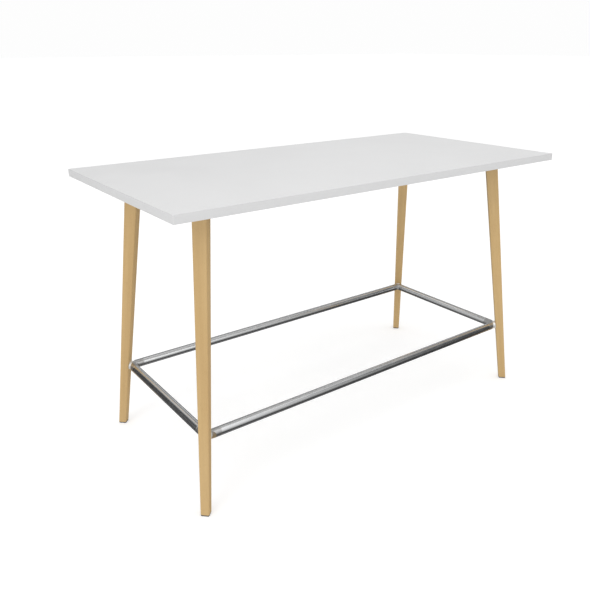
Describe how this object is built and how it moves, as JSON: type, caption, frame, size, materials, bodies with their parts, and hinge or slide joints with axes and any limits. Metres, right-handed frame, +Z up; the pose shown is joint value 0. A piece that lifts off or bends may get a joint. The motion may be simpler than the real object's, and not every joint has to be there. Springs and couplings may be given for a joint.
{
  "type": "standing meeting table",
  "caption": "Bar-height meeting table: white rectangular top, splayed tapered wooden legs, chromed round foot rail joined by corner connectors, hidden steel underframe and levelling glides.",
  "frame": {"origin": "on the floor, below the middle of the table top", "axes": "+Z up, +X along the long side of the top, +Y across the top, away from the front"},
  "size_m": [1.8, 0.9, 1.1],
  "materials": {
    "tabletop": "particle board with matt white laminate",
    "edge_band": "white edge band, matt",
    "leg_wood": "clear-lacquered light beech, satin",
    "underframe": "grey powder coat",
    "chrome": "polished chrome plate",
    "fastener_steel": "zinc-plated",
    "glide_plastic": "dark grey nylon, matt"
  },
  "bodies": {
    "table": {"corner_bracket_back_left": "underframe", "corner_bracket_back_right": "underframe", "corner_bracket_front_left": "underframe", "corner_bracket_front_right": "underframe", "corner_connector_back_left": "chrome", "corner_connector_back_right": "chrome", "corner_connector_front_left": "chrome", "corner_connector_front_right": "chrome", "edge_band_back": "edge_band", "edge_band_front": "edge_band", "edge_band_left": "edge_band", "edge_band_right": "edge_band", "foot_rail_back": "chrome", "foot_rail_front": "chrome", "foot_rail_left": "chrome", "foot_rail_right": "chrome", "leg_back_left": "leg_wood", "leg_back_right": "leg_wood", "leg_front_left": "leg_wood", "leg_front_right": "leg_wood", "long_rail_back": "underframe", "long_rail_front": "underframe", "rail_collars": "chrome", "rest_bolts": "fastener_steel", "short_rail_left": "underframe", "short_rail_right": "underframe", "tabletop_board": "tabletop"},
    "glide_front_left": {"glide_pad_front_left": "glide_plastic", "glide_stud_front_left": "fastener_steel"},
    "glide_front_right": {"glide_pad_front_right": "glide_plastic", "glide_stud_front_right": "fastener_steel"},
    "glide_back_left": {"glide_pad_back_left": "glide_plastic", "glide_stud_back_left": "fastener_steel"},
    "glide_back_right": {"glide_pad_back_right": "glide_plastic", "glide_stud_back_right": "fastener_steel"}
  },
  "joints": [
    {"name": "glide_front_left_screw", "type": "slide", "parent": "table", "child": "glide_front_left", "axis": [0, 0, -1], "range_m": [0, 0.01]},
    {"name": "glide_front_right_screw", "type": "slide", "parent": "table", "child": "glide_front_right", "axis": [0, 0, -1], "range_m": [0, 0.01]},
    {"name": "glide_back_left_screw", "type": "slide", "parent": "table", "child": "glide_back_left", "axis": [0, 0, -1], "range_m": [0, 0.01]},
    {"name": "glide_back_right_screw", "type": "slide", "parent": "table", "child": "glide_back_right", "axis": [0, 0, -1], "range_m": [0, 0.01]}
  ]
}
